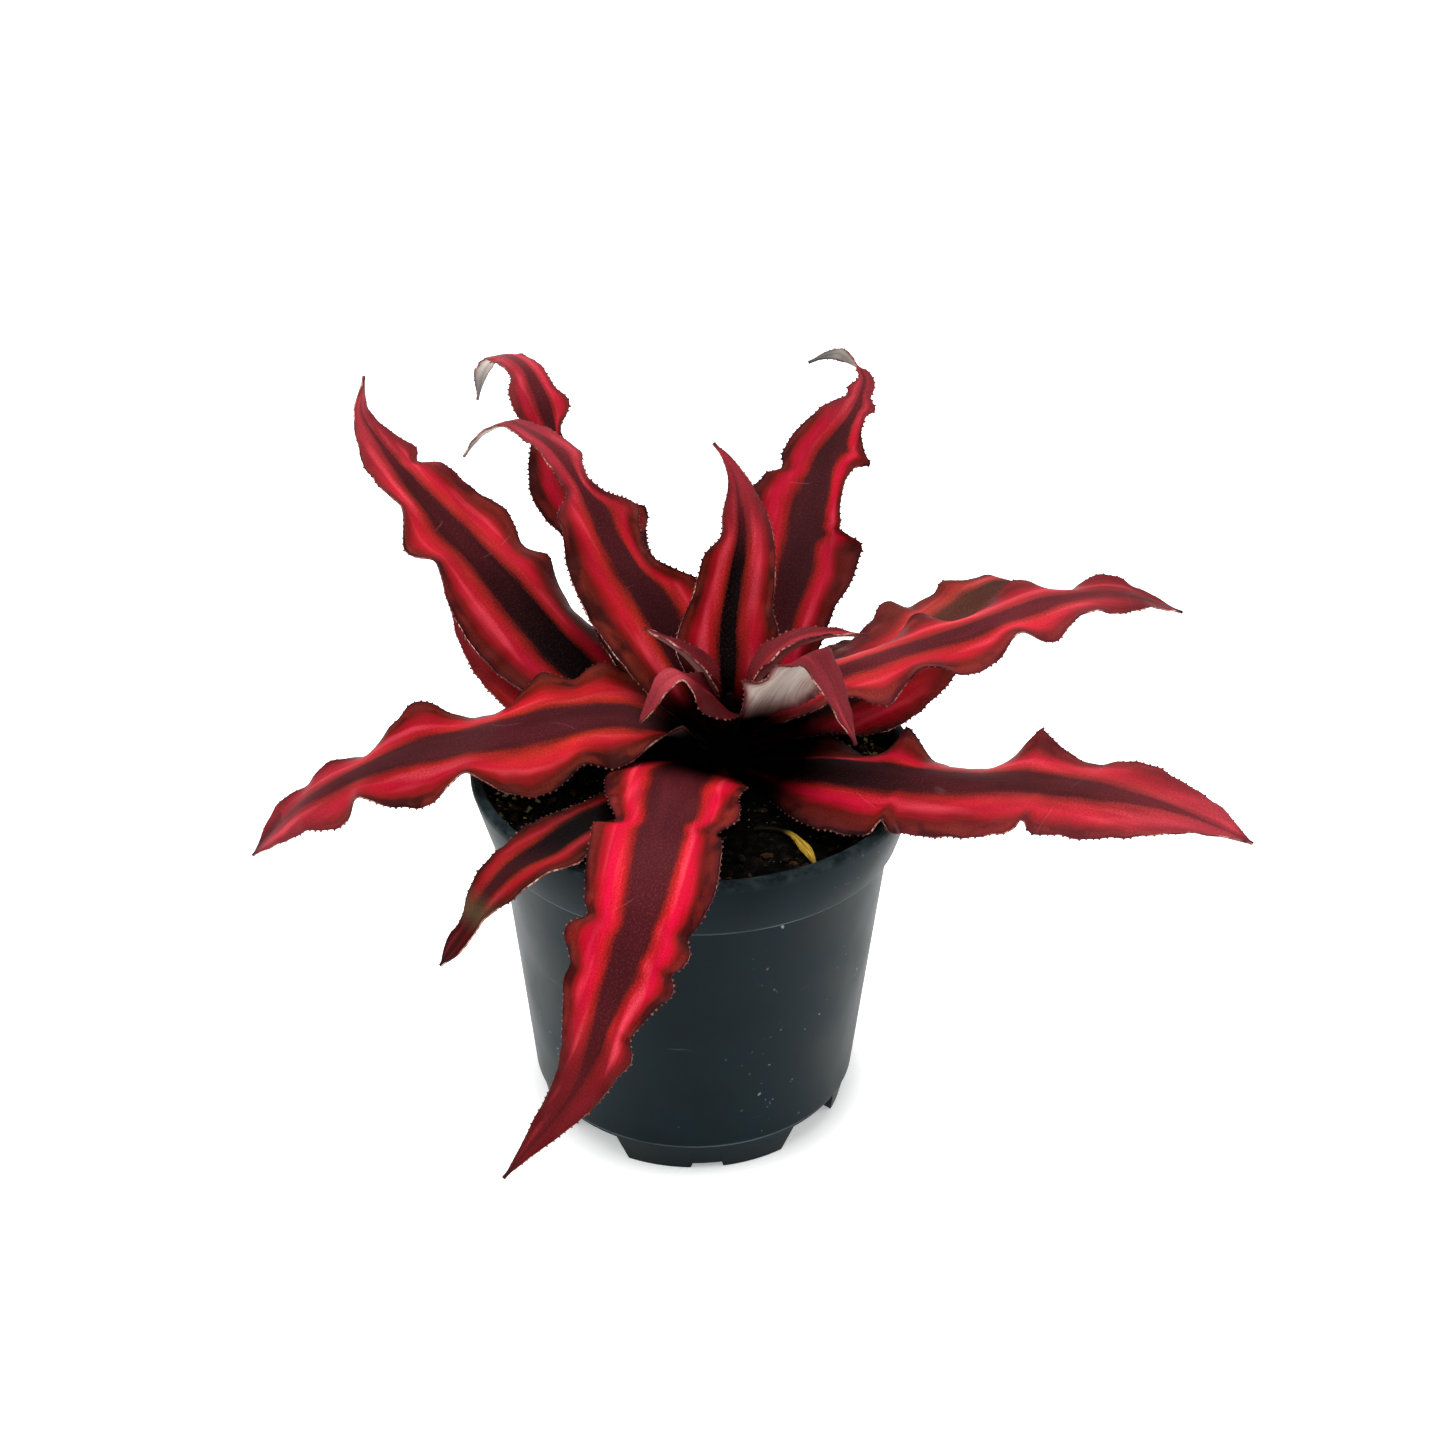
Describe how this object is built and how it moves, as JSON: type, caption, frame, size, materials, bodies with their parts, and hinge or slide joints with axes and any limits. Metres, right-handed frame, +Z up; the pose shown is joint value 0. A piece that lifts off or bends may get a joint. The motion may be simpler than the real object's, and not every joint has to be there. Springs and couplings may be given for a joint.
{
  "type": "potted bromeliad",
  "caption": "Star-shaped rosette of long, wavy, spiny-edged leaves with red and dark bands, growing in soil in a dark round plastic nursery pot.",
  "frame": {"origin": "centre of the whole plant's outline seen from above, on the surface that the pot stands on", "axes": "+Z up, -Y to the front, where one leaf hangs over the rim, +X to the right, along the longest spread"},
  "size_m": [0.2247, 0.202, 0.1631],
  "materials": {
    "pot": "satin blue-black plastic",
    "soil": "damp dark peat with small pale grains",
    "stem": "short brown woody stem",
    "leaf": "leathery leaf, dark and red bands above, silvery below",
    "leaf_inner": "young leaf, dull red above, silvery below",
    "leaf_dead": "dry yellow leaf"
  },
  "bodies": {
    "root": {"pot": "pot", "soil": "soil", "stem": "stem", "leaf_left_back": "leaf", "leaf_back_tall": "leaf", "leaf_back_curled": "leaf", "leaf_upright": "leaf", "leaf_right_back": "leaf", "leaf_right_long": "leaf", "leaf_right_under": "leaf", "leaf_right_low": "leaf", "leaf_left_long": "leaf", "leaf_front": "leaf", "leaf_left_front": "leaf", "leaf_left_under": "leaf", "leaf_rear_right": "leaf", "leaf_rear": "leaf", "leaf_rear_low": "leaf", "leaf_rear_left": "leaf", "leaf_inner_left": "leaf_inner", "leaf_inner_right": "leaf_inner", "leaf_inner_folded": "leaf_inner", "leaf_inner_spike": "leaf_inner", "leaf_dead": "leaf_dead"}
  },
  "joints": []
}
